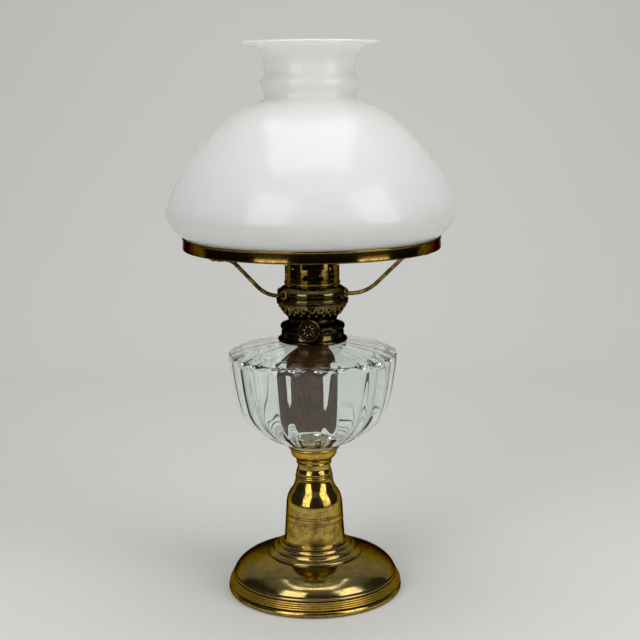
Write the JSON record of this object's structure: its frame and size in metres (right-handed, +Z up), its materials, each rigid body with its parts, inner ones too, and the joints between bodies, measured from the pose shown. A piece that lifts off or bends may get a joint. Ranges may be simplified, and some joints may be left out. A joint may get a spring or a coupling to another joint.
{
  "type": "kerosene table lamp",
  "caption": "Brass kerosene table lamp with a lobed clear glass oil font, a round-wick burner with winder knob, a wire shade holder and an opal glass dome shade.",
  "frame": {"origin": "middle of the foot's underside", "axes": "+Z up along the lamp, the winder knob towards -Y"},
  "size_m": [0.2704, 0.2704, 0.5216],
  "materials": {
    "bright_brass": "polished, lightly tarnished",
    "dark_brass": "dark patina",
    "iron": "raw casting",
    "steel": "plain",
    "plaster": "set plaster",
    "clear_glass": "pressed, clear",
    "opal_glass": "opal, glossy",
    "cotton": "woven, used"
  },
  "bodies": {
    "pedestal": {"foot_shell": "bright_brass", "foot_weight": "iron", "tie_rod": "steel", "tie_washer": "steel", "tie_nuts": "steel", "stem_column": "bright_brass", "stem_neck": "bright_brass", "font_cup": "bright_brass", "font_cement": "plaster", "font_glass": "clear_glass", "font_collar": "dark_brass", "collar_cement": "plaster"},
    "burner": {"burner_base": "dark_brass", "air_basket": "dark_brass", "burner_deck": "dark_brass", "gallery": "dark_brass", "wick_tube": "dark_brass", "air_tube": "dark_brass", "winder_gland": "dark_brass"},
    "winder": {"winder_shaft": "steel", "winder_knob": "dark_brass", "winder_sprockets": "steel"},
    "wick_sheet": {"wick": "cotton"},
    "holder": {"holder_seat": "dark_brass", "holder_arm_left": "dark_brass", "holder_arm_right": "dark_brass", "holder_arm_rear": "dark_brass", "arm_rosettes": "dark_brass", "shade_ring": "dark_brass", "arm_rivets": "dark_brass"},
    "shade": {"shade_glass": "opal_glass"}
  },
  "joints": [
    {"name": "burner_unscrew", "type": "hinge", "parent": "pedestal", "child": "burner", "pos_m": [0, 0, 0.2549], "axis": [0, 0, 1], "range_deg": [0, 720]},
    {"name": "winder_turn", "type": "hinge", "parent": "burner", "child": "winder", "pos_m": [-0.01626, -0.00497, 0.2626], "axis": [0.2924, -0.9563, 0], "range_deg": [-105, 140]},
    {"name": "wick_rise", "type": "slide", "parent": "burner", "child": "wick_sheet", "axis": [0, 0, 1], "range_m": [-0.006, 0.008]},
    {"name": "holder_lift", "type": "slide", "parent": "burner", "child": "holder", "axis": [0, 0, 1], "range_m": [0, 0.06]},
    {"name": "shade_lift", "type": "slide", "parent": "holder", "child": "shade", "axis": [0, 0, 1], "range_m": [0, 0.05]}
  ],
  "couplings": [
    {"joint": "wick_rise", "follows": "winder_turn", "m_per_rad": 0.0032}
  ]
}
